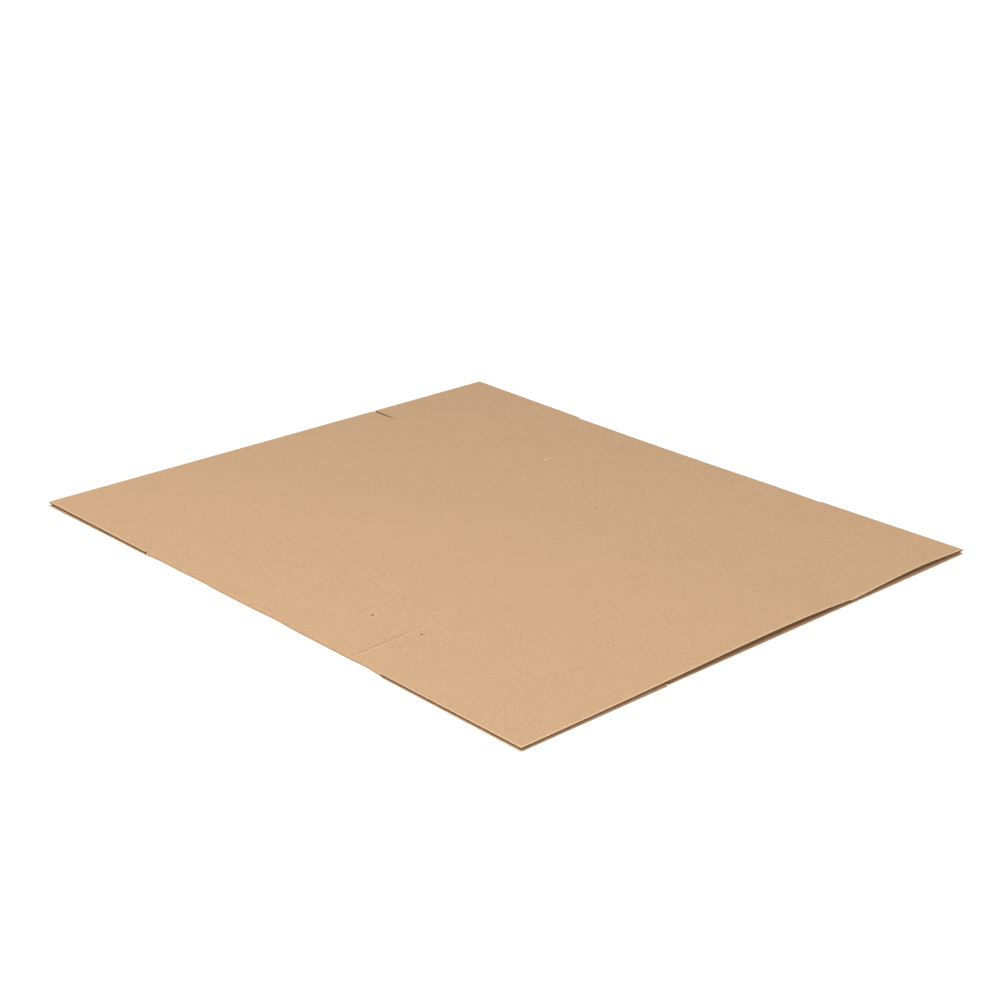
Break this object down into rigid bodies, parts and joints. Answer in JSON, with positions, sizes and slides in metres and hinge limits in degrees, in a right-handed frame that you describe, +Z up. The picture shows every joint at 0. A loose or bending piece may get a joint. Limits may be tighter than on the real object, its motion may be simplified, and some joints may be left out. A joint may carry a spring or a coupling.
{
  "type": "flattened cardboard carton",
  "caption": "Unmarked slotted shipping carton of single-wall corrugated board, glued into a tube and pressed flat, with slotted flaps and score lines.",
  "frame": {"origin": "middle of the footprint, on the surface that the flat carton lies on", "axes": "+X across the panels, from the wide upper panel's fold to the narrow upper panel's fold; +Y along the flutes; +Z up out of the upper layer"},
  "size_m": [1, 1.167, 0.0132],
  "materials": {
    "kraft_board": "matt brown kraft liner with fine fibre grain and open flutes at the cut edges"
  },
  "bodies": {
    "root": {"folded_carton": "kraft_board"}
  },
  "joints": []
}
